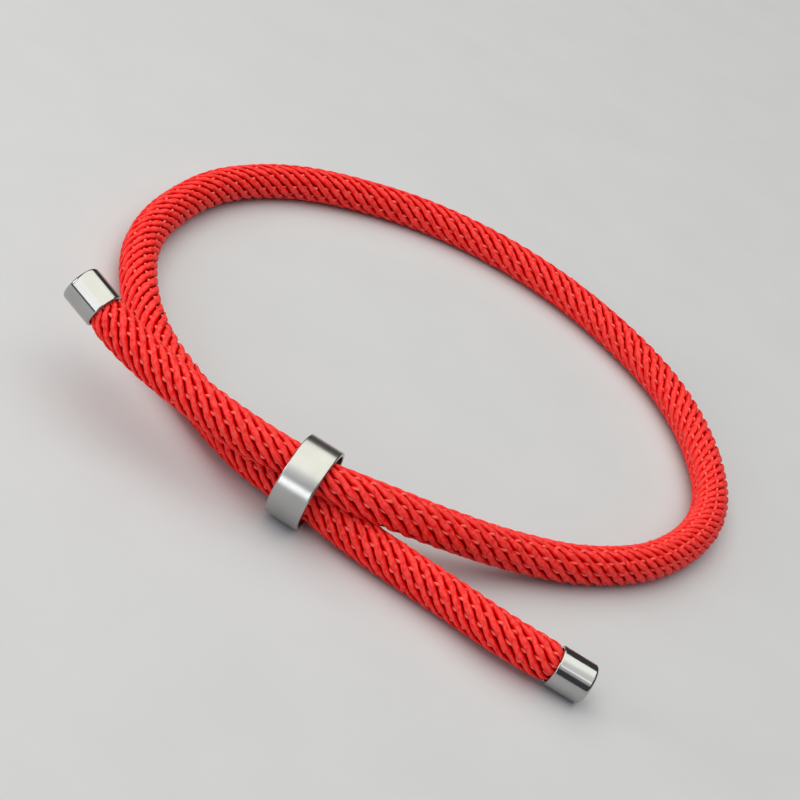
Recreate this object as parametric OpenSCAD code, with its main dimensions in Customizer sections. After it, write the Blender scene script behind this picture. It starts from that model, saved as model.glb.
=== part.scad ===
// Adjustable rope bracelet: one length of round braided cord, a steel slide ring that both
// ends pass through in opposite directions, and a steel cap on each end.
// It lies on a flat surface at z = 0, with the ring standing on its rim and its axis along X.
// The loop lies on the +Y side of the ring, the two free ends point along X. Sizes in millimetres.

/* [Cord] */
// thickness of the round braided cord where it runs free
cord_d = 4; // [3.6:0.1:4.1]
// thickness of the cord where the ring squeezes it
cord_squeezed_d = 3.5; // [3.3:0.05:3.6]
// thickness of the cord's bound end inside each cap
cord_end_d = 3.2; // [2.6:0.1:3.3]

/* [Slide ring] */
// outer diameter of the ring
ring_d = 8.3; // [8.3:0.1:8.7]
// width of the ring along its axis
ring_width = 3.5; // [3:0.1:4]
// thickness of the ring's wall
ring_wall = 0.36; // [0.3:0.02:0.4]
// rounding of the ring's two outer edges
ring_edge = 0.15; // [0.05:0.01:0.2]

/* [End caps] */
// outer diameter of each cap
cap_d = 4; // [3.8:0.1:4.4]
// length of each cap over its closed end
cap_length = 3.7; // [3.4:0.1:4.2]
// thickness of a cap's round wall
cap_wall = 0.3; // [0.2:0.02:0.32]
// thickness of a cap's closed end
cap_end = 0.5; // [0.3:0.05:0.6]
// rounding of the edge round a cap's closed end
cap_edge = 0.3; // [0.1:0.05:0.4]

/* [Hidden] */

red = [0.80, 0.13, 0.12];
steel = [0.78, 0.78, 0.76];

$fn = 96;

// middle of the ring: it stands on its rim, so its height follows its diameter
ring_at = [-1.15, -32, ring_d / 2];

// outer face of each cap's closed end, and how far the cap is tilted from upright and turned
left_cap_at = [-28.55, -30.8, 9];
left_cap_tilt = 105;
left_cap_turn = -10;
right_cap_at = [30.35, -32.4, cap_d / 2];
right_cap_tilt = 84;
right_cap_turn = -170;

// the way from a cap's closed end to its mouth
function way(tilt, turn) = [sin(tilt) * cos(turn), sin(tilt) * sin(turn), cos(tilt)];
left_way = way(left_cap_tilt, left_cap_turn);
right_way = way(right_cap_tilt, right_cap_turn);

// radii of the cord along its route
free_r = cord_d / 2;
tight_r = cord_squeezed_d / 2;
end_r = cord_end_d / 2;

// the cord's middle line between the caps: [x, y, z, radius]
// left free end, stiff enough to stand off the surface, and down into the ring's upper half
free_end = [
    [-21, -32.45, 7.35, free_r],
    [-16.5, -33.2, 6.95, free_r],
    [-11.5, -33.5, 6.5, free_r],
    [-7, -33.2, 6.1, free_r - 0.05],
    [-3.1, -32.6, 5.95, tight_r],
    [0.7, -32.35, 5.95, tight_r],
    [3, -31.8, 5.9, free_r - 0.1],
    [6.5, -30.2, 5.5, free_r]
];
// down to the surface, round the loop and back to the ring's lower half
loop = [
    [12, -26.5, 4.3, free_r],
    [18, -21.5, 2.85, free_r],
    [24.5, -15.8, 2.1, free_r],
    [30.2, -8.3, 2, free_r],
    [33.1, 1, 2, free_r],
    [32.6, 9.6, 2, free_r],
    [28.6, 18.7, 2, free_r],
    [22.5, 26, 2, free_r],
    [15, 30.8, 2, free_r],
    [6, 33.8, 2, free_r],
    [-3, 34.3, 2, free_r],
    [-12, 32.3, 2, free_r],
    [-20, 27.9, 2, free_r],
    [-26.5, 21.9, 2, free_r],
    [-31, 13.9, 2, free_r],
    [-32.7, 5, 2, free_r],
    [-32, -5.5, 2, free_r],
    [-28.5, -14, 2, free_r],
    [-22.5, -21.5, 2, free_r],
    [-15.5, -26.2, 2, free_r],
    [-10, -29.1, 2.1, free_r],
    [-6.5, -30.6, 2.25, free_r - 0.05],
    [-3.1, -31.5, 2.35, tight_r],
    [0.7, -31.75, 2.35, tight_r],
    [3, -31.9, 2.25, free_r - 0.1]
];
// right free end, along the surface and up a little before its cap
tail = [
    [7, -32.1, 2.1, free_r],
    [16, -32.6, 2.15, free_r],
    [21.5, -33.4, 2.5, free_r]
];

// a point on a cap's axis, at a distance from its closed end
function on_axis(at, way, distance, r) = concat(at + way * distance, [r]);

// the whole route, from inside the left cap to inside the right cap
route = concat(
    [
        on_axis(left_cap_at, left_way, cap_end + 0.1, end_r),
        on_axis(left_cap_at, left_way, cap_length + 0.02, end_r),
        on_axis(left_cap_at, left_way, cap_length + 0.65, free_r - 0.05)
    ],
    free_end,
    loop,
    tail,
    [
        on_axis(right_cap_at, right_way, cap_length + 0.65, free_r - 0.05),
        on_axis(right_cap_at, right_way, cap_length + 0.02, end_r),
        on_axis(right_cap_at, right_way, cap_end + 0.1, end_r)
    ]
);
last = len(route) - 1;

sides = 12;
step = 4.5;

function place(p) = [p[0], p[1], p[2]];
function unit(v) = v / norm(v);

// length of one stretch of the route, and the steps that it is swept in
function stretch(i) = norm(place(route[i + 1]) - place(route[i]));
function steps(i) = max(1, round(stretch(i) / step));

// slope of the route at one of its points, per millimetre
function slope(i) =
    i == 0 ? (route[1] - route[0]) / stretch(0) :
    i == last ? (route[last] - route[last - 1]) / stretch(last - 1) :
    (route[i + 1] - route[i - 1]) / (stretch(i) + stretch(i - 1));

// the smooth curve through the route's points, at part t of stretch i
function along(i, t) =
    route[i] * (2 * t ^ 3 - 3 * t ^ 2 + 1)
    + slope(i) * stretch(i) * (t ^ 3 - 2 * t ^ 2 + t)
    + route[i + 1] * (3 * t ^ 2 - 2 * t ^ 3)
    + slope(i + 1) * stretch(i) * (t ^ 3 - t ^ 2);

line = concat(
    [for (i = [0:last - 1]) for (k = [0:steps(i) - 1]) along(i, k / steps(i))],
    [route[last]]
);
rings = len(line);

// direction of travel at one ring of the swept tube
function heading(j) = unit(place(line[min(j + 1, rings - 1)]) - place(line[max(j - 1, 0)]));
function sideways(j) = unit(cross(heading(j), [0, 0, 1]));
function upward(j) = cross(sideways(j), heading(j));

function circle_at(j) = [
    for (k = [0:sides - 1])
        place(line[j]) + min(free_r, line[j][3]) * (
            cos(k * 360 / sides) * sideways(j) + sin(k * 360 / sides) * upward(j)
        )
];

module braided_cord() {
    color(red)
        polyhedron(
            points = [for (j = [0:rings - 1]) each circle_at(j)],
            faces = concat(
                [[for (k = [0:sides - 1]) k]],
                [
                    for (j = [0:rings - 2]) for (k = [0:sides - 1])
                        [
                            j * sides + k,
                            (j + 1) * sides + k,
                            (j + 1) * sides + (k + 1) % sides,
                            j * sides + (k + 1) % sides
                        ]
                ],
                [[for (k = [sides - 1:-1:0]) (rings - 1) * sides + k]]
            ),
            convexity = 8
        );
}

// half of the ring's cross-section, drawn beside the axis
module ring_section() {
    translate([ring_d / 2 - ring_wall, 0])
        square([ring_wall - ring_edge, ring_width]);
    translate([ring_d / 2 - ring_wall, ring_edge])
        square([ring_wall, ring_width - 2 * ring_edge]);
    for (y = [ring_edge, ring_width - ring_edge])
        translate([ring_d / 2 - ring_edge, y])
            circle(ring_edge);
}

module slider_ring() {
    color(steel)
        translate(ring_at)
            rotate([0, 90, 0])
                translate([0, 0, -ring_width / 2])
                    rotate_extrude()
                        ring_section();
}

// half of a cap's outline, its closed end at zero
module cap_outline() {
    square([cap_d / 2 - cap_edge, cap_length]);
    translate([0, cap_edge])
        square([cap_d / 2, cap_length - cap_edge]);
    translate([cap_d / 2 - cap_edge, cap_edge])
        intersection() {
            circle(cap_edge);
            translate([0, -cap_edge])
                square(cap_edge);
        }
}

module cap() {
    rotate_extrude()
        difference() {
            cap_outline();
            translate([-1, cap_end])
                square([cap_d / 2 - cap_wall + 1, cap_length]);
        }
}

module end_cap_left() {
    color(steel)
        translate(left_cap_at)
            rotate([0, left_cap_tilt, left_cap_turn])
                cap();
}

module end_cap_right() {
    color(steel)
        translate(right_cap_at)
            rotate([0, right_cap_tilt, right_cap_turn])
                cap();
}

braided_cord();
slider_ring();
end_cap_left();
end_cap_right();
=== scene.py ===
"""Adjustable rope bracelet.

One braided red cord, the steel ring that it slides in, and a steel cap on each end.
"""

import logging
import math
from dataclasses import dataclass, field
from enum import Enum

import bpy
import numpy as np
from mathutils import Matrix, Vector


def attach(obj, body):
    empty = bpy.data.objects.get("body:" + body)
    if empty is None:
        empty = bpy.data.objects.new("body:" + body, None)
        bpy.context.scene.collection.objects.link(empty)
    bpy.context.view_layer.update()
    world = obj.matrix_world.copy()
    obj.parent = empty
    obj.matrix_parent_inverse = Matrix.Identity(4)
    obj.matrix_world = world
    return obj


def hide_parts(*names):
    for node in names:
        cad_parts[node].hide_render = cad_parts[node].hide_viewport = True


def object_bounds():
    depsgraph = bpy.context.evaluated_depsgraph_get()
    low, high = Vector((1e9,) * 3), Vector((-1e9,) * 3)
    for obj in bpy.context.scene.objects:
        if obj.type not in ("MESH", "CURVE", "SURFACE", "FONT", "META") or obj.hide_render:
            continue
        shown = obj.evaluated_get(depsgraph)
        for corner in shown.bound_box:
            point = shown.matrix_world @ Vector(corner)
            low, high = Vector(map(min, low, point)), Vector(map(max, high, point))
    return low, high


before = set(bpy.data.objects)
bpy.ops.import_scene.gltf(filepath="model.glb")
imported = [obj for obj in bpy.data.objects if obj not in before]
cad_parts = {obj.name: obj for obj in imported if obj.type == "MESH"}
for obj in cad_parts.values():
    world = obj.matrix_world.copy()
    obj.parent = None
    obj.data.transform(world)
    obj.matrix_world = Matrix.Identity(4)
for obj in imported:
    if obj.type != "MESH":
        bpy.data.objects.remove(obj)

CAD_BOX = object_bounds()
LOG = logging.getLogger("bracelet")
MM = 0.001
TURN = 2 * math.pi
BODY = "root"
OVERHEAD_HEIGHT = 0.55

# A place or direction, a colour, a point of the cord's route, two numbers, and a node's socket.
Place = tuple[float, float, float]
Colour = tuple[float, float, float]
RoutePoint = tuple[float, float, float, float]
Pair = tuple[float, float]
Socket = bpy.types.NodeSocket

# Colours of light, and the whole range of a value.
WHITE: Colour = (1.0, 1.0, 1.0)
CREAM: Colour = (1.0, 0.995, 0.89)
COOL: Colour = (0.95, 0.98, 1.0)
FULL: Pair = (0.0, 1.0)


def tilted(tilt: float, turn: float) -> Place:
    """A direction.

    Args:
        tilt: how far it leans from straight up, in degrees.
        turn: how far it is turned from +X toward +Y, in degrees.

    Returns:
        Its unit vector.
    """
    lean, swing = math.radians(tilt), math.radians(turn)
    return (math.sin(lean) * math.cos(swing), math.sin(lean) * math.sin(swing), math.cos(lean))


def lengths_along(points: np.ndarray) -> np.ndarray:
    """Lengths along a line of points.

    Args:
        points: the points, one row each.

    Returns:
        The length from the first point to each of them.
    """
    gaps = np.linalg.norm(np.diff(points, axis=0), axis=1)
    return np.concatenate([[0.0], np.cumsum(gaps)])


def unit(vectors: np.ndarray) -> np.ndarray:
    """Vectors of the same directions, each one long."""
    return vectors / np.linalg.norm(vectors, axis=-1, keepdims=True)


# The ring's middle and axis, and each cap's closed end and the way from it to its mouth.
RING_AT: Place = (-0.00115, -0.032, 0.00415)
RING_WAY: Place = (1.0, 0.0, 0.0)
LEFT_CAP_AT: Place = (-0.02855, -0.0308, 0.009)
LEFT_CAP_WAY: Place = tilted(105, -10)
RIGHT_CAP_AT: Place = (0.03035, -0.0324, 0.002)
RIGHT_CAP_WAY: Place = tilted(84, -170)

# The cord's middle line from the left cap to the right one: x, y, z and radius, in metres.
# Left free end, stiff enough to stand off the surface, and down into the ring's upper half.
FREE_END: tuple[RoutePoint, ...] = (
    (-0.02798, -0.03090, 0.00884, 0.0016),
    (-0.02501, -0.03142, 0.00804, 0.0016),
    (-0.02441, -0.03153, 0.00787, 0.00195),
    (-0.02100, -0.03245, 0.00735, 0.0020),
    (-0.01650, -0.03320, 0.00695, 0.0020),
    (-0.01150, -0.03350, 0.00650, 0.0020),
    (-0.00700, -0.03320, 0.00610, 0.00195),
    (-0.00310, -0.03260, 0.00595, 0.00175),
    (0.00070, -0.03235, 0.00595, 0.00175),
    (0.00300, -0.03180, 0.00590, 0.0019),
    (0.00650, -0.03020, 0.00550, 0.0020),
)
# Down to the surface, round the loop and back to the ring's lower half.
LOOP: tuple[RoutePoint, ...] = (
    (0.01200, -0.02650, 0.00430, 0.0020),
    (0.01800, -0.02150, 0.00285, 0.0020),
    (0.02450, -0.01580, 0.00210, 0.0020),
    (0.03020, -0.00830, 0.00200, 0.0020),
    (0.03310, 0.00100, 0.00200, 0.0020),
    (0.03260, 0.00960, 0.00200, 0.0020),
    (0.02860, 0.01870, 0.00200, 0.0020),
    (0.02250, 0.02600, 0.00200, 0.0020),
    (0.01500, 0.03080, 0.00200, 0.0020),
    (0.00600, 0.03380, 0.00200, 0.0020),
    (-0.00300, 0.03430, 0.00200, 0.0020),
    (-0.01200, 0.03230, 0.00200, 0.0020),
    (-0.02000, 0.02790, 0.00200, 0.0020),
    (-0.02650, 0.02190, 0.00200, 0.0020),
    (-0.03100, 0.01390, 0.00200, 0.0020),
    (-0.03270, 0.00500, 0.00200, 0.0020),
    (-0.03200, -0.00550, 0.00200, 0.0020),
    (-0.02850, -0.01400, 0.00200, 0.0020),
    (-0.02250, -0.02150, 0.00200, 0.0020),
    (-0.01550, -0.02620, 0.00200, 0.0020),
    (-0.01000, -0.02910, 0.00210, 0.0020),
    (-0.00650, -0.03060, 0.00225, 0.00195),
    (-0.00310, -0.03150, 0.00235, 0.00175),
    (0.00070, -0.03175, 0.00235, 0.00175),
    (0.00300, -0.03190, 0.00225, 0.0019),
)
# Right free end, along the surface and up a little to its cap.
TAIL: tuple[RoutePoint, ...] = (
    (0.00700, -0.03210, 0.00210, 0.0020),
    (0.01600, -0.03260, 0.00215, 0.0020),
    (0.02150, -0.03340, 0.00250, 0.0020),
    (0.02609, -0.03315, 0.00245, 0.00195),
    (0.02671, -0.03304, 0.00239, 0.0016),
    (0.02976, -0.03250, 0.00206, 0.0016),
)


class Polish(Enum):
    """How far steel is polished: its roughness, and how much of its marks' height shows."""

    SATIN = (0.25, 0.08)
    MIRROR = (0.12, 0.03)

    @property
    def roughness(self) -> float:
        """Roughness of the clean metal."""
        return self.value[0]

    @property
    def mark_strength(self) -> float:
        """How much of the marks' height shows."""
        return self.value[1]


class Tree:
    """A short way to add and join shader nodes in one material."""

    # Sockets of the Mix node that blend colours, and the values that a mottle runs between.
    MIX_SHARE, MIX_FIRST, MIX_SECOND, MIX_RESULT = 0, 6, 7, 2
    MOTTLE_SPAN: Pair = (0.3, 0.7)

    def __init__(self, name: str) -> None:
        """Makes a material with nothing but its surface.

        Args:
            name: the material's name.
        """
        self.material = bpy.data.materials.new(name)
        self.material.use_nodes = True
        self.nodes = self.material.node_tree.nodes
        self.links = self.material.node_tree.links
        self.nodes.clear()
        self.surface = self.nodes.new("ShaderNodeBsdfPrincipled")
        output = self.nodes.new("ShaderNodeOutputMaterial")
        self.links.new(self.surface.outputs["BSDF"], output.inputs["Surface"])

    def add(self, kind: str, **values: object) -> bpy.types.Node:
        """Adds a node.

        Args:
            kind: the node's type, without its ShaderNode prefix.
            values: attributes of the node to set.

        Returns:
            The new node.
        """
        node = self.nodes.new("ShaderNode" + kind)
        for key, value in values.items():
            setattr(node, key, value)
        return node

    def join(self, source: Socket, target: Socket) -> None:
        """Links one socket to another."""
        self.links.new(source, target)

    def noise(self, place: Socket, scale: float, detail: float) -> Socket:
        """Adds a noise.

        Args:
            place: the coordinates that it reads.
            scale: its scale.
            detail: how many finer octaves it has.

        Returns:
            The socket with the noise's value, from 0 to 1.
        """
        node = self.add("TexNoise")
        node.inputs["Scale"].default_value = scale
        node.inputs["Detail"].default_value = detail
        self.join(place, node.inputs["Vector"])
        return node.outputs["Fac"]

    def grain(self, place: Socket, scale: Place, detail: float) -> Socket:
        """Adds a noise that is finer one way than another.

        Args:
            place: the coordinates that it reads.
            scale: its scale along each of them.
            detail: how many finer octaves it has.

        Returns:
            The socket with the noise's value, from 0 to 1.
        """
        node = self.add("Mapping")
        node.inputs["Scale"].default_value = scale
        self.join(place, node.inputs["Vector"])
        return self.noise(node.outputs["Vector"], 1.0, detail)

    def graded(self, value: Socket, span: Pair, low: Colour, high: Colour) -> Socket:
        """Turns a value to a colour.

        Args:
            value: the value, from 0 to 1.
            span: the values where the grading starts and ends.
            low: the colour up to its start.
            high: the colour from its end.

        Returns:
            The socket with the colour.
        """
        node = self.add("ValToRGB")
        for element, at, colour in zip(node.color_ramp.elements, span, (low, high)):
            element.position = at
            element.color = (*colour, 1.0)
        self.join(value, node.inputs["Fac"])
        return node.outputs["Color"]

    def ranged(self, value: Socket, span: Pair, target: Pair = FULL) -> Socket:
        """Spreads a value over another range.

        Args:
            value: the value.
            span: its lowest and its highest.
            target: what these two become.

        Returns:
            The socket with the new value.
        """
        node = self.add("MapRange")
        for name, number in zip(("From Min", "From Max", "To Min", "To Max"), span + target):
            node.inputs[name].default_value = number
        self.join(value, node.inputs["Value"])
        return node.outputs["Result"]

    def mixed(self, parts: tuple[tuple[Socket, float], ...]) -> Socket:
        """Adds up values.

        Args:
            parts: each value with its weight.

        Returns:
            The socket with their weighted sum.
        """
        total = None
        for value, weight in parts:
            node = self.add("Math", operation="MULTIPLY_ADD")
            node.inputs[1].default_value = weight
            node.inputs[2].default_value = 0.0
            self.join(value, node.inputs[0])
            if total is not None:
                self.join(total, node.inputs[2])
            total = node.outputs[0]
        return total

    def blended(self, share: Socket, first: Colour, second: Socket) -> Socket:
        """Blends a plain colour into another.

        Args:
            share: how much of the second colour shows, from 0 to 1.
            first: the plain colour.
            second: the other colour.

        Returns:
            The socket with the blend.
        """
        node = self.add("Mix", data_type="RGBA")
        node.inputs[self.MIX_FIRST].default_value = (*first, 1.0)
        self.join(share, node.inputs[self.MIX_SHARE])
        self.join(second, node.inputs[self.MIX_SECOND])
        return node.outputs[self.MIX_RESULT]

    def mottle(self, colour: Colour, shade: float, scale: float, detail: float) -> None:
        """Colours the surface, with a faint mottle.

        Args:
            colour: its lighter colour.
            shade: how light the darker colour is beside that one, from 0 to 1.
            scale: the mottle's scale.
            detail: how many finer octaves it has.
        """
        place = self.add("TexCoord").outputs["Object"]
        darker = tuple(shade * part for part in colour)
        mottled = self.graded(self.noise(place, scale, detail), self.MOTTLE_SPAN, darker, colour)
        self.join(mottled, self.surface.inputs["Base Color"])

    def outwardness(self, place: Socket, lean: float) -> Socket:
        """How far a place on a strand faces out from the cord; the yarn uses it to place its painted
        shade and painted highlight.

        Args:
            place: the strand's map, with v in turns round it from its side.
            lean: radians by which the way out leans toward that side.

        Returns:
            The socket with the value: 1 on the strand's back, 0 at its sides and -1 below.
        """
        parts = self.add("SeparateXYZ")
        self.join(place, parts.inputs["Vector"])
        angle = self.add("Math", operation="MULTIPLY_ADD")
        angle.inputs[1].default_value = TURN
        angle.inputs[2].default_value = lean
        self.join(parts.outputs["Y"], angle.inputs[0])
        sine = self.add("Math", operation="SINE")
        self.join(angle.outputs["Value"], sine.inputs[0])
        return sine.outputs["Value"]

    def bump(self, height: Socket, strength: float, distance: float) -> None:
        """Raises the surface by a height.

        Args:
            height: the height, from 0 to 1.
            strength: how much of it shows.
            distance: how far 1 stands up, in metres.
        """
        node = self.add("Bump")
        node.inputs["Strength"].default_value = strength
        node.inputs["Distance"].default_value = distance
        self.join(height, node.inputs["Height"])
        self.join(node.outputs["Normal"], self.surface.inputs["Normal"])


@dataclass(frozen=True)
class YarnFinish:
    """Dyed filament yarn with a soft sheen, its filaments lying along the strand.

    The colour runs from dark to light with the filaments and broader patches, and grows lighter
    toward the strand's back as a painted highlight. The sides sink into a dark red painted shade
    with hardly any specular. The grain's scales are for a millimetre along the strand and for a turn
    round it.
    """

    name: str
    dark: Colour
    light: Colour
    groove_shade: Colour = (0.38, 0.0, 0.0)
    roughness: Pair = (0.42, 0.62)
    specular: float = 0.15
    shaded_specular: float = 0.02
    # Radians by which the painted shade and painted highlight are turned toward one side of each
    # strand.
    lean: float = 0.25
    shade_span: Pair = (0.08, 0.50)
    highlight_span: Pair = (0.3, 0.9)
    filament_scale: Place = (1.6, 11.0, 1.0)
    patch_scale: Place = (2.4, 5.0, 1.0)
    filament_weight: float = 0.45
    patch_weight: float = 0.35
    highlight_weight: float = 0.25
    dye_and_highlight_span: Pair = (0.52, 0.70)
    filament_depth: float = 0.05 * MM
    filament_strength: float = 0.8

    def material(self) -> bpy.types.Material:
        """Makes the yarn's material.

        Returns:
            A material that reads the strand's own map: u along it in millimetres, v round it.
        """
        tree = Tree(self.name)
        strand = tree.add("UVMap", uv_map="strand").outputs["UV"]
        filaments = tree.grain(strand, self.filament_scale, detail=3.0)
        patches = tree.grain(strand, self.patch_scale, detail=2.0)
        out = tree.outwardness(strand, self.lean)
        # Painted highlight: the colour grows lighter and pinker toward each strand's back, where the
        # light falls.
        back = tree.ranged(out, self.highlight_span)
        tone = tree.mixed((
            (filaments, self.filament_weight),
            (patches, self.patch_weight),
            (back, self.highlight_weight),
        ))
        dye_and_highlight = tree.graded(tone, self.dye_and_highlight_span, self.dark, self.light)
        # Painted shade: the strand's sides, down in the grooves, blend to a dark red, and their
        # specular drops with it.
        unshaded = tree.ranged(out, self.shade_span)
        tree.join(tree.blended(unshaded, self.groove_shade, dye_and_highlight), tree.surface.inputs["Base Color"])
        sheen = tree.ranged(unshaded, FULL, (self.shaded_specular, self.specular))
        tree.join(sheen, tree.surface.inputs["Specular IOR Level"])
        rough = tree.ranged(filaments, FULL, self.roughness)
        tree.join(rough, tree.surface.inputs["Roughness"])
        tree.bump(filaments, self.filament_strength, self.filament_depth)
        return tree.material


@dataclass(frozen=True)
class SteelFinish:
    """Stainless steel with faint smudges, and fine marks that run round it."""

    name: str
    polish: Polish
    colour: Colour = (0.47, 0.47, 0.465)
    smudge_shade: float = 0.92
    smudge_scale: float = 420.0
    mark_scale: Place = (9.0, 2.5, 1.0)
    mark_depth: float = 0.003 * MM
    roughness_spread: float = 0.15

    def material(self) -> bpy.types.Material:
        """Makes the steel's material.

        Returns:
            A metal that reads the turned piece's map: u along it in millimetres, v in turns.
        """
        tree = Tree(self.name)
        tree.mottle(self.colour, self.smudge_shade, self.smudge_scale, detail=2.0)
        turned = tree.add("UVMap", uv_map="turned").outputs["UV"]
        marks = tree.grain(turned, self.mark_scale, detail=3.0)
        clean, spread = self.polish.roughness, self.roughness_spread
        rough = tree.ranged(marks, FULL, (clean * (1 - spread), clean * (1 + spread)))
        tree.join(rough, tree.surface.inputs["Roughness"])
        tree.surface.inputs["Metallic"].default_value = 1.0
        tree.bump(marks, self.polish.mark_strength, self.mark_depth)
        return tree.material


@dataclass(frozen=True)
class FloorFinish:
    """Plain pale paper, matt with a faint mottle."""

    name: str = "pale_floor"
    colour: Colour = (0.60, 0.605, 0.64)
    mottle_shade: float = 0.97
    mottle_scale: float = 90.0
    roughness: float = 0.85
    specular: float = 0.2

    def material(self) -> bpy.types.Material:
        """Makes the floor's material.

        Returns:
            The material.
        """
        tree = Tree(self.name)
        tree.mottle(self.colour, self.mottle_shade, self.mottle_scale, detail=3.0)
        tree.surface.inputs["Roughness"].default_value = self.roughness
        tree.surface.inputs["Specular IOR Level"].default_value = self.specular
        return tree.material


@dataclass
class CordLine:
    """The cord's middle line, sampled finely, with the directions across it."""

    place: np.ndarray
    radius: np.ndarray

    def __post_init__(self) -> None:
        """Works out lengths, directions and bends from the places."""
        self.along = lengths_along(self.place)
        self.heading = unit(np.gradient(self.place, self.along, axis=0))
        self.sideways = unit(np.cross(self.heading, (0.0, 0.0, 1.0)))
        self.upward = np.cross(self.sideways, self.heading)
        self.bend = np.gradient(self.heading, self.along, axis=0)

    @property
    def length(self) -> float:
        """Length of the line, in metres."""
        return float(self.along[-1])

    def outward(self, angle: np.ndarray) -> np.ndarray:
        """Directions square to the line.

        Args:
            angle: one angle for each sample, from the sideways direction toward the upward one.

        Returns:
            One unit vector for each sample.
        """
        return np.cos(angle)[:, None] * self.sideways + np.sin(angle)[:, None] * self.upward

    def stretch(self, out: np.ndarray) -> np.ndarray:
        """How far a bend lengthens the cord's surface.

        Args:
            out: the way out from the line at each sample.

        Returns:
            The factors: over 1 outside a bend, under 1 inside it.
        """
        return 1.0 - self.radius * np.sum(self.bend * out, axis=1)


@dataclass(frozen=True)
class CordRoute:
    """The smooth curve through the cord's listed points, and how finely it is worked out."""

    points: tuple[RoutePoint, ...]
    cuts: int = 60

    def sampled(self, step: float) -> CordLine:
        """Samples the curve at even steps.

        Args:
            step: distance between samples, in metres.

        Returns:
            The line, from the left cap to the right one.
        """
        rows = np.array(self.points)
        reach = np.linalg.norm(np.diff(rows[:, :3], axis=0), axis=1)
        slope = np.empty_like(rows)
        slope[0] = (rows[1] - rows[0]) / reach[0]
        slope[-1] = (rows[-1] - rows[-2]) / reach[-1]
        slope[1:-1] = (rows[2:] - rows[:-2]) / (reach[1:] + reach[:-1])[:, None]
        t = np.linspace(0.0, 1.0, self.cuts, endpoint=False)[:, None]
        dense = [
            rows[i] * (2 * t**3 - 3 * t**2 + 1)
            + slope[i] * reach[i] * (t**3 - 2 * t**2 + t)
            + rows[i + 1] * (3 * t**2 - 2 * t**3)
            + slope[i + 1] * reach[i] * (t**3 - t**2)
            for i in range(len(reach))
        ]
        curve = np.concatenate([*dense, rows[-1:]])
        along = lengths_along(curve[:, :3])
        even = np.linspace(0.0, along[-1], int(round(along[-1] / step)) + 1)
        place = np.stack([np.interp(even, along, curve[:, k]) for k in range(3)], axis=1)
        radius = np.minimum(np.interp(even, along, curve[:, 3]), rows[:, 3].max())
        return CordLine(place, radius)


@dataclass
class SweptMesh:
    """Joins tubes, each a grid of rings of points, in one mesh with a map."""

    name: str
    layer: str
    corners: list[np.ndarray] = field(default_factory=list)
    totals: list[np.ndarray] = field(default_factory=list)
    points: list[np.ndarray] = field(default_factory=list)
    spots: list[np.ndarray] = field(default_factory=list)
    count: int = 0

    def add(self, rings: np.ndarray, places: np.ndarray, looped: bool = False) -> None:
        """Adds one tube.

        Args:
            rings: points, ring after ring, with the same number in each.
            places: u and v on the map, with one more column than rings has, for the seam, and one
                more row where the tube is looped.
            looped: whether the last ring joins the first, else both ends are closed.
        """
        rows, sides = rings.shape[:2]
        j, k = np.meshgrid(np.arange(rows if looped else rows - 1), np.arange(sides), indexing="ij")
        after, beside = (j + 1) % rows, (k + 1) % sides
        quads = np.stack(
            [j * sides + k, j * sides + beside, after * sides + beside, after * sides + k], axis=2
        )
        spots = np.stack(
            [places[j, k], places[j, k + 1], places[j + 1, k + 1], places[j + 1, k]], axis=2
        )
        self.corners.append(quads.reshape(-1) + self.count)
        self.totals.append(np.full(quads.shape[0] * quads.shape[1], 4))
        self.spots.append(spots.reshape(-1, 2))
        if not looped:
            ends = np.concatenate([np.arange(sides)[::-1], (rows - 1) * sides + np.arange(sides)])
            self.corners.append(ends + self.count)
            self.totals.append(np.full(2, sides))
            self.spots.append(np.concatenate([places[0, :-1][::-1], places[-1, :-1]]))
        self.points.append(rings.reshape(-1, 3))
        self.count += rows * sides

    def built(self) -> bpy.types.Object:
        """Builds the mesh.

        Returns:
            The new object, which rides on the body.
        """
        mesh = bpy.data.meshes.new(self.name)
        points = np.concatenate(self.points)
        corners = np.concatenate(self.corners)
        totals = np.concatenate(self.totals)
        starts = np.concatenate([[0], np.cumsum(totals)[:-1]])
        mesh.vertices.add(len(points))
        mesh.vertices.foreach_set("co", points.astype(np.float32).ravel())
        mesh.loops.add(len(corners))
        mesh.loops.foreach_set("vertex_index", corners.astype(np.int32))
        mesh.polygons.add(len(starts))
        mesh.polygons.foreach_set("loop_start", starts.astype(np.int32))
        mesh.polygons.foreach_set("loop_total", totals.astype(np.int32))
        mesh.update(calc_edges=True)
        layer = mesh.uv_layers.new(name=self.layer)
        layer.uv.foreach_set("vector", np.concatenate(self.spots).astype(np.float32).ravel())
        mesh.shade_smooth()
        mesh.validate()
        made = bpy.data.objects.new(self.name, mesh)
        bpy.context.scene.collection.objects.link(made)
        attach(made, BODY)
        return made


@dataclass(frozen=True)
class Wander:
    """An unevenness that comes and goes in waves, out of step from one strand to the next."""

    height: float
    length: float
    shift: float

    def at(self, along: np.ndarray, strand: int) -> np.ndarray:
        """The unevenness at places along one strand."""
        return self.height * np.sin(along / self.length + self.shift * strand)


@dataclass(frozen=True)
class StrandShape:
    """A strand's cross-section: corner angles in degrees, and how square it is."""

    corners: tuple[float, ...]
    squareness: float = 1.0

    def across(self) -> np.ndarray:
        """Each corner's share of the half width."""
        c = np.cos(np.radians(self.corners))
        return np.sign(c) * np.abs(c) ** self.squareness

    def outward(self) -> np.ndarray:
        """Each corner's share of the half height."""
        s = np.sin(np.radians(self.corners))
        return np.sign(s) * np.abs(s) ** self.squareness


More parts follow.
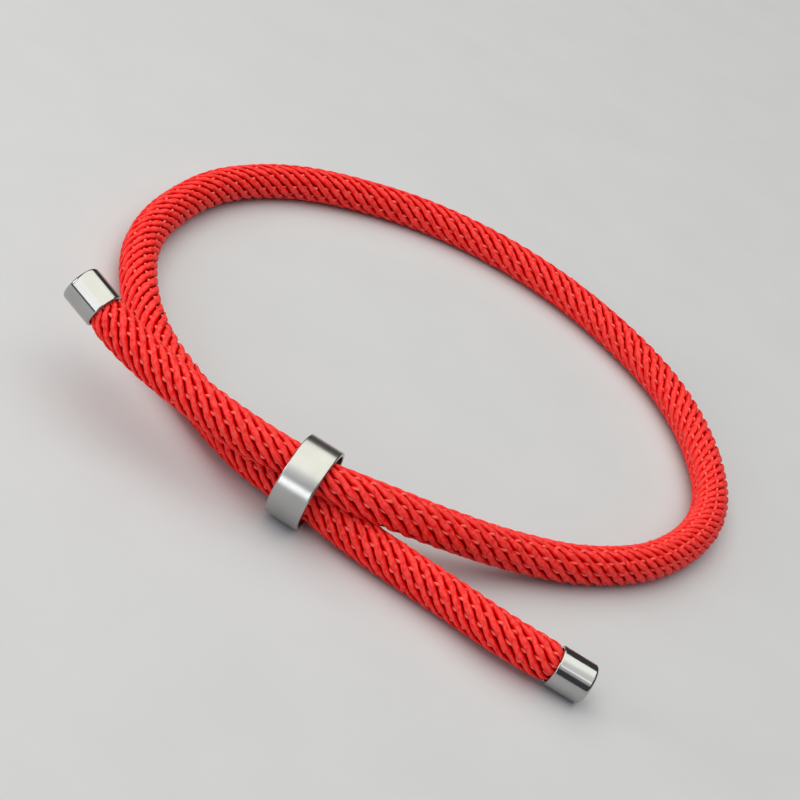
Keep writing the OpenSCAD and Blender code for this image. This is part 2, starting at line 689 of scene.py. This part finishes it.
@dataclass
class Strand:
    """One strand of the braid: its middle line, the way out from the cord, its size and its lean.

    On the map, each strand's part lies some turns round from the one before.
    """

    centre: np.ndarray
    outward: np.ndarray
    half_width: np.ndarray
    half_height: np.ndarray
    lean: float = 0.0
    turns_apart: float = 3.0

    def swept(self, shape: StrandShape, index: int) -> tuple[np.ndarray, np.ndarray]:
        """Sweeps the strand.

        Args:
            shape: its cross-section.
            index: its number, which keeps its part of the map apart from the others.

        Returns:
            The rings of points, and the map's u along it in millimetres and v in turns round it.
        """
        along = lengths_along(self.centre)
        heading = np.gradient(self.centre, along, axis=0)
        across = unit(np.cross(heading, self.outward))
        out = unit(np.cross(across, heading))
        cos, sin = math.cos(self.lean), math.sin(self.lean)
        across, out = cos * across + sin * out, cos * out - sin * across
        rings = (
            self.centre[:, None]
            + (self.half_width[:, None] * shape.across())[:, :, None] * across[:, None]
            + (self.half_height[:, None] * shape.outward())[:, :, None] * out[:, None]
        )
        turns = np.append(shape.corners, shape.corners[0] + 360.0) / 360.0
        u, v = np.meshgrid(along / MM, turns + self.turns_apart * index, indexing="ij")
        return rings, np.stack([u, v], axis=2)


@dataclass
class BraidedCord:
    """The round cord: thick ribs that all wind one way, bound by thin yarns, on a plain core."""

    route: CordRoute
    diameter: float = 4.0 * MM
    line_step: float = 1.0 * MM
    ribs: int = 10
    # The ribs' lead along the cord: millimetres from the left cap, and the lead there.
    leads: tuple[Pair, ...] = (
        (0.0, 13.2),
        (20.0, 14.1),
        (45.0, 18.4),
        (54.0, 18.0),
        (68.0, 13.6),
        (80.0, 13.4),
        (100.0, 16.5),
        (125.0, 17.6),
        (150.0, 16.4),
        (176.0, 16.8),
        (192.0, 14.8),
        (210.0, 16.2),
        (240.0, 14.5),
        (264.0, 14.5),
    )
    # A rib's half width as a share of its room, its height, and how it swells, dips and leans.
    rib_share: float = 0.38
    rib_half_height: float = 0.42 * MM
    rib_swell: float = 0.09
    rib_dip: float = 0.09 * MM
    rib_sway: float = 0.025
    rib_lean: float = 0.06
    rib_wander: tuple[Wander, ...] = (Wander(0.05, 2.3 * MM, 1.9), Wander(0.035, 0.55 * MM, 2.7))
    rib_shape: StrandShape = StrandShape((0, 26, 56, 90, 124, 154, 180, 225, 270, 315), 0.66)
    rib_step: float = 0.3 * MM
    # Rows of binding yarn, and each yarn's thickness and its height in the braid.
    rows: int = 9
    row_lead: float = 240.0 * MM
    row_wander: Wander = Wander(0.05, 9.0 * MM, 2.1)
    binder_radius: float = 0.14 * MM
    binder_width: float = 1.2
    binder_low: float = 1.47 * MM
    binder_rise: float = 0.38 * MM
    binder_shape: StrandShape = StrandShape((0, 60, 120, 180, 240, 300))
    binder_step: float = 0.17 * MM
    # A nub: its place before a rib, how short and high it is, and how much thicker the yarn is.
    nub_before_rib: float = 0.34
    nub_shortness: float = 3.2
    nub_height: float = 0.80
    nub_wander: Wander = Wander(0.32, 1 / 2.7, 1.3)
    nub_swell: float = 0.15
    core_radius: float = 1.50 * MM
    core_shape: StrandShape = StrandShape(tuple(range(0, 360, 20)))
    # The ribs' light colour is partly their own tone and partly the painted highlight on each rib's
    # back.
    rib_yarn: YarnFinish = YarnFinish("red_rib_yarn", (0.84, 0.001, 0.001), (1.0, 0.070, 0.061))
    # The binding yarn's paler pink is a painted highlight on the nubs.
    binder_yarn: YarnFinish = YarnFinish("red_binding_yarn", (0.95, 0.045, 0.04), (1.0, 0.16, 0.14))
    # The core's dark red is painted shade for the grooves between the ribs.
    core_yarn: YarnFinish = YarnFinish(
        "groove_shaded_red_core", (0.44, 0.0, 0.0), (0.64, 0.001, 0.001), specular=0.02
    )

    def lead(self, line: CordLine) -> np.ndarray:
        """The ribs' lead at each sample of a line."""
        at, lead = np.array(self.leads).T * MM
        return np.interp(line.along, at, lead)

    def tightness(self, line: CordLine) -> np.ndarray:
        """How far the cord is drawn in at each sample: 1 where it runs free."""
        return line.radius / (self.diameter / 2)

    def wound(self, line: CordLine) -> np.ndarray:
        """Turns that the ribs have made round the cord.

        Args:
            line: the cord's line.

        Returns:
            The turns from the left cap to each sample.
        """
        rate = 1.0 / self.lead(line)
        steps = np.diff(line.along) * (rate[1:] + rate[:-1]) / 2
        return np.concatenate([[0.0], np.cumsum(steps)])

    def rib_spacing(self, line: CordLine, out: np.ndarray) -> np.ndarray:
        """Room that each rib fills: the distance between neighbours, which a bend only narrows.

        Args:
            line: the cord's line.
            out: the way out to the rib at each sample.

        Returns:
            The distances, square to the ribs.
        """
        girth = TURN * line.radius
        lead = self.lead(line) * np.minimum(line.stretch(out), 1.0)
        return girth / self.ribs * lead / np.hypot(girth, lead)

    def rib_angle(self, line: CordLine, rib: int) -> np.ndarray:
        """Angle of a rib round the cord at each sample.

        Args:
            line: the cord's line.
            rib: the rib's number.

        Returns:
            The angles: a right-handed helix, so they fall along the line.
        """
        return TURN * (rib / self.ribs - self.wound(line))

    def row_angle(self, line: CordLine, row: int) -> np.ndarray:
        """Angle of a binding yarn round the cord at each sample.

        Args:
            line: the cord's line.
            row: the yarn's number.

        Returns:
            The angles: a long left-handed helix, so they rise slowly along the line.
        """
        wander = self.row_wander.at(line.along, row)
        return TURN * row / self.rows + TURN * line.along / self.row_lead + wander

    def rib(self, line: CordLine, rib: int) -> Strand:
        """One rib, which swells between the binding yarns and dips under them.

        Args:
            line: the cord's line.
            rib: the rib's number.

        Returns:
            The rib's strand.
        """
        angle = self.rib_angle(line, rib)
        crossings = self.rows * (angle - self.row_angle(line, 0))
        swell = -np.cos(crossings)
        wander = sum(wave.at(line.along, rib) for wave in self.rib_wander)
        tight = self.tightness(line)
        spacing = self.rib_spacing(line, line.outward(angle))
        half_width = self.rib_share * spacing * (1 + self.rib_swell * swell + wander)
        half_height = self.rib_half_height * tight
        level = line.radius - half_height - self.rib_dip * tight * (1 - swell) / 2
        out = line.outward(angle + self.rib_sway * np.sin(crossings))
        centre = line.place + level[:, None] * out
        return Strand(centre, out, half_width, half_height, self.rib_lean)

    def binder(self, line: CordLine, row: int) -> Strand:
        """One binding yarn, which shows as a nub in the groove before each rib.

        Args:
            line: the cord's line.
            row: the yarn's number.

        Returns:
            The yarn's strand.
        """
        angle = self.row_angle(line, row)
        passed = self.ribs * (angle - self.rib_angle(line, 0)) / TURN + self.nub_before_rib
        nub = (0.5 + 0.5 * np.cos(TURN * passed)) ** self.nub_shortness
        height = self.nub_height + self.nub_wander.at(np.round(passed), row)
        tight = self.tightness(line)
        level = (self.binder_low + self.binder_rise * nub * height) * tight
        out = line.outward(angle)
        size = self.binder_radius * tight * (1 + self.nub_swell * nub)
        return Strand(line.place + level[:, None] * out, out, size * self.binder_width, size)

    def core(self, line: CordLine) -> Strand:
        """The plain core under the braid."""
        size = self.core_radius * self.tightness(line)
        return Strand(line.place, line.upward, size, size)

    def build(self) -> list[bpy.types.Object]:
        """Builds the ribs, the binding yarns and the core, which stand for the plain cord.

        Returns:
            The three pieces, the ribs first.
        """
        rib_line = self.route.sampled(self.rib_step)
        binder_line = self.route.sampled(self.binder_step)
        core_line = self.route.sampled(self.line_step)
        ribs = SweptMesh("cord_ribs", "strand")
        for i in range(self.ribs):
            ribs.add(*self.rib(rib_line, i).swept(self.rib_shape, i))
        binders = SweptMesh("cord_binding_yarns", "strand")
        for i in range(self.rows):
            binders.add(*self.binder(binder_line, i).swept(self.binder_shape, i))
        core = SweptMesh("cord_core", "strand")
        core.add(*self.core(core_line).swept(self.core_shape, 0))
        made = [mesh.built() for mesh in (ribs, binders, core)]
        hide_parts("braided_cord")
        return made

    def dress(self, pieces: list[bpy.types.Object]) -> None:
        """Gives each piece its yarn.

        Args:
            pieces: the ribs, the binding yarns and the core.
        """
        for piece, yarn in zip(pieces, (self.rib_yarn, self.binder_yarn, self.core_yarn)):
            piece.data.materials.append(yarn.material())

    def declare(self) -> None:
        line = self.route.sampled(self.line_step)


@dataclass
class TurnedFitting:
    """A steel piece turned on its own axis: where it stands, its section and its finish.

    A long flat of the section gets a point close to each of its ends, so that it shades flat.
    """

    node: str
    slot: str
    finish: SteelFinish
    place: Place
    way: Place
    facets: int = 160
    flat_from: float = 0.12 * MM
    flat_margin: float = 0.04 * MM

    def section(self) -> tuple[list[Pair], bool]:
        """Half of the section.

        Returns:
            Places along the axis and radii, in metres, and whether they close in a loop.
        """
        raise NotImplementedError

    @staticmethod
    def rounded(centre: Pair, radius: float, start: float, end: float, steps: int = 6) -> list[Pair]:
        """Points on a rounded edge.

        Args:
            centre: the rounding's centre, along the axis and out from it.
            radius: its radius.
            start: its first angle, in degrees, from the axis's own direction.
            end: its last angle.
            steps: how many pieces it is cut in.

        Returns:
            The points, in order.
        """
        angles = [math.radians(start + (end - start) * i / steps) for i in range(steps + 1)]
        return [(centre[0] + radius * math.cos(a), centre[1] + radius * math.sin(a)) for a in angles]

    def supported(self, points: list[Pair]) -> np.ndarray:
        """Adds the points close to the ends of long flats.

        Args:
            points: the section's points.

        Returns:
            All of the points, one row each.
        """
        out = [points[0]]
        for a, b in zip(points, points[1:]):
            reach = math.dist(a, b)
            if reach > self.flat_from:
                for part in (self.flat_margin / reach, 1 - self.flat_margin / reach):
                    out.append((a[0] + (b[0] - a[0]) * part, a[1] + (b[1] - a[1]) * part))
            out.append(b)
        return np.array(out)

    def build(self) -> bpy.types.Object:
        """Turns the section round the axis.

        Returns:
            The new piece, which stands for the frame's own.
        """
        points, looped = self.section()
        if looped:
            points = [*points, points[0]]
        rows = self.supported(points)
        along = lengths_along(rows) / MM
        if looped:
            rows = rows[:-1]
        axis = unit(np.array(self.way))
        low = unit(np.cross(axis, np.cross((0.0, 0.0, -1.0), axis)))
        beside = np.cross(axis, low)
        turns = np.arange(self.facets + 1) / self.facets
        angle = TURN * turns[:-1]
        round_it = np.cos(angle)[:, None] * low + np.sin(angle)[:, None] * beside
        rings = (
            np.array(self.place)
            + rows[:, 0, None, None] * axis
            + rows[:, 1, None, None] * round_it[None]
        )
        u, v = np.meshgrid(along, turns, indexing="ij")
        mesh = SweptMesh(f"turned_{self.node}", "turned")
        mesh.add(rings[:, ::-1], np.stack([u, v], axis=2)[:, ::-1], looped)
        made = mesh.built()
        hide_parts(self.node)
        return made

    def dress(self, piece: bpy.types.Object) -> None:
        """Gives the piece its steel."""
        piece.data.materials.append(self.finish.material())


@dataclass
class SliderRing(TurnedFitting):
    """The ring, in four flats with softly broken edges."""

    outer_radius: float = 4.15 * MM
    wall: float = 0.36 * MM
    width: float = 3.5 * MM
    outer_edge: float = 0.15 * MM
    inner_edge: float = 0.06 * MM

    def section(self) -> tuple[list[Pair], bool]:
        """The ring's section.

        Returns:
            Its points, once round its wall, and that they close in a loop.
        """
        out, inner = self.outer_radius, self.outer_radius - self.wall
        end = self.width / 2
        soft, fine = self.outer_edge, self.inner_edge
        return [
            *self.rounded((-end + soft, out - soft), soft, 180, 90),
            *self.rounded((end - soft, out - soft), soft, 90, 0),
            *self.rounded((end - fine, inner + fine), fine, 360, 270),
            *self.rounded((-end + fine, inner + fine), fine, 270, 180),
        ], True


@dataclass
class EndCap(TurnedFitting):
    """A cap: a closed end with a rounded edge, a round wall and an open mouth.

    Its section stops just short of the axis, where a small round face closes each side of the end.
    """

    outer_radius: float = 2.0 * MM
    wall: float = 0.3 * MM
    length: float = 3.7 * MM
    closed_end: float = 0.5 * MM
    end_edge: float = 0.3 * MM
    end_edge_steps: int = 9
    lip_edge: float = 0.14 * MM
    middle: float = 0.02 * MM

    def section(self) -> tuple[list[Pair], bool]:
        """The cap's section.

        Returns:
            Its points, from the middle of the closed end, over the lip and back inside, and that
            they don't close in a loop.
        """
        out, inner = self.outer_radius, self.outer_radius - self.wall
        end, lip = self.end_edge, self.lip_edge
        return [
            (0.0, self.middle),
            *self.rounded((end, out - end), end, 180, 90, self.end_edge_steps),
            *self.rounded((self.length - lip, out - lip), lip, 90, 0),
            *self.rounded((self.length - lip, inner + lip), lip, 360, 270),
            (self.closed_end, inner),
            (self.closed_end, self.middle),
        ], False


@dataclass
class PhotoCamera:
    """The camera that stands as the photograph's did: its place, how it is turned, and its lens."""

    place: Place = (0.02143, -0.1817, 0.1076)
    right: Place = (0.8468, 0.3476, 0.4024)
    up: Place = (-0.5214, 0.3941, 0.7568)
    lens: float = 90.0
    sensor: float = 36.0
    nearest: float = 0.01

    def build(self) -> bpy.types.Object:
        """Makes the camera and gives it to the scene.

        Returns:
            The camera.
        """
        data = bpy.data.cameras.new("camera")
        data.lens = self.lens
        data.sensor_width = self.sensor
        data.sensor_fit = "HORIZONTAL"
        data.clip_start = self.nearest
        made = bpy.data.objects.new("camera", data)
        bpy.context.scene.collection.objects.link(made)
        right, up = Vector(self.right).normalized(), Vector(self.up)
        back = right.cross(up).normalized()
        up = back.cross(right)
        turned = Matrix((right, up, back)).transposed()
        made.matrix_world = Matrix.Translation(self.place) @ turned.to_4x4()
        bpy.context.scene.camera = made
        return made


@dataclass(frozen=True)
class SoftLight:
    """One soft studio light: where it stands, its size, its power and what it points at."""

    name: str
    place: Place
    size: Pair
    power: float
    aim: Place = (0.0, 0.0, 0.0)
    colour: Colour = WHITE

    @classmethod
    def overhead(
        cls, name: str, over: Pair, size: Pair, power: float, colour: Colour = WHITE
    ) -> "SoftLight":
        """A light that hangs over a place and faces straight down.

        Args:
            name: its name.
            over: the place on the floor.
            size: its size.
            power: its power, in watts.
            colour: its colour.

        Returns:
            The light.
        """
        return cls(name, (*over, OVERHEAD_HEIGHT), size, power, (*over, 0.0), colour)

    def build(self) -> bpy.types.Object:
        """Makes the light.

        Returns:
            The light.
        """
        data = bpy.data.lights.new(self.name, "AREA")
        data.shape = "RECTANGLE"
        data.size, data.size_y = self.size
        data.energy = self.power
        data.color = self.colour
        made = bpy.data.objects.new(self.name, data)
        bpy.context.scene.collection.objects.link(made)
        made.location = self.place
        way = Vector(self.aim) - Vector(self.place)
        made.rotation_euler = way.to_track_quat("-Z", "Y").to_euler()
        return made


@dataclass
class Studio:
    """The pale floor, the lights and the room's own light."""

    floor_half: float = 3.0
    floor_gap: float = 0.01 * MM
    floor_finish: FloorFinish = FloorFinish()
    room: Colour = (0.55, 0.56, 0.58)
    room_strength: float = 0.12
    lights: tuple[SoftLight, ...] = (
        SoftLight.overhead("overhead_front", (-0.1575, -0.127), (0.785, 0.635), 2.72, CREAM),
        SoftLight.overhead("overhead_back", (-0.35, 0.445), (0.77, 0.51), 2.18, CREAM),
        SoftLight.overhead("overhead_right_back", (0.1975, 0.31), (0.325, 0.24), 0.40),
        SoftLight.overhead("overhead_right", (0.3675, -0.165), (0.265, 0.71), 0.58),
        SoftLight("window", (-0.292, -0.839, 0.50), (0.28, 0.80), 1.30),
        SoftLight("low_window", (-0.117, -0.975, 0.16), (0.20, 0.30), 0.62, colour=COOL),
        SoftLight("reflector_right", (0.41, -0.605, 0.58), (0.45, 0.32), 0.25),
        SoftLight("near_left", (-0.20, -0.12, 0.09), (0.10, 0.10), 0.12, (-0.02, -0.02, 0.0)),
    )

    def floor(self) -> bpy.types.Object:
        """Lays the floor just under the bracelet.

        Returns:
            The floor.
        """
        mesh = bpy.data.meshes.new("floor")
        low = CAD_BOX[0][2] - self.floor_gap
        h = self.floor_half
        mesh.from_pydata(
            [(-h, -h, low), (h, -h, low), (h, h, low), (-h, h, low)], [], [(0, 1, 2, 3)]
        )
        mesh.materials.append(self.floor_finish.material())
        made = bpy.data.objects.new("floor", mesh)
        bpy.context.scene.collection.objects.link(made)
        return made

    def build(self) -> None:
        """Lays the floor, sets the lights and the room, and shows plain colours."""
        self.floor()
        for light in self.lights:
            light.build()
        world = bpy.data.worlds.new("room")
        world.use_nodes = True
        background = world.node_tree.nodes["Background"]
        background.inputs["Color"].default_value = (*self.room, 1.0)
        background.inputs["Strength"].default_value = self.room_strength
        bpy.context.scene.world = world
        bpy.context.scene.view_settings.view_transform = "Standard"


def main() -> None:
    """Builds the bracelet in the order it is put together, and reports each piece."""
    logging.basicConfig(level=logging.INFO, format="%(name)s: %(message)s")
    camera = PhotoCamera().build()
    LOG.info("%s stands at %s", camera.name, tuple(round(x, 4) for x in camera.location))
    cord = BraidedCord(CordRoute(FREE_END + LOOP + TAIL))
    strands = cord.build()
    cord.dress(strands)
    satin = SteelFinish("satin_ring_steel", Polish.SATIN)
    mirror = SteelFinish("polished_cap_steel", Polish.MIRROR)
    fittings = []
    for fitting in (
        SliderRing("slider_ring", "ring_steel", satin, RING_AT, RING_WAY),
        EndCap("end_cap_left", "cap_steel", mirror, LEFT_CAP_AT, LEFT_CAP_WAY),
        EndCap("end_cap_right", "cap_steel", mirror, RIGHT_CAP_AT, RIGHT_CAP_WAY),
    ):
        piece = fitting.build()
        fitting.dress(piece)
        fittings.append(piece)
    cord.declare()
    for piece in strands + fittings:
        LOG.info("%s: %d faces", piece.name, len(piece.data.polygons))
    Studio().build()


if __name__ == "__main__":
    main()
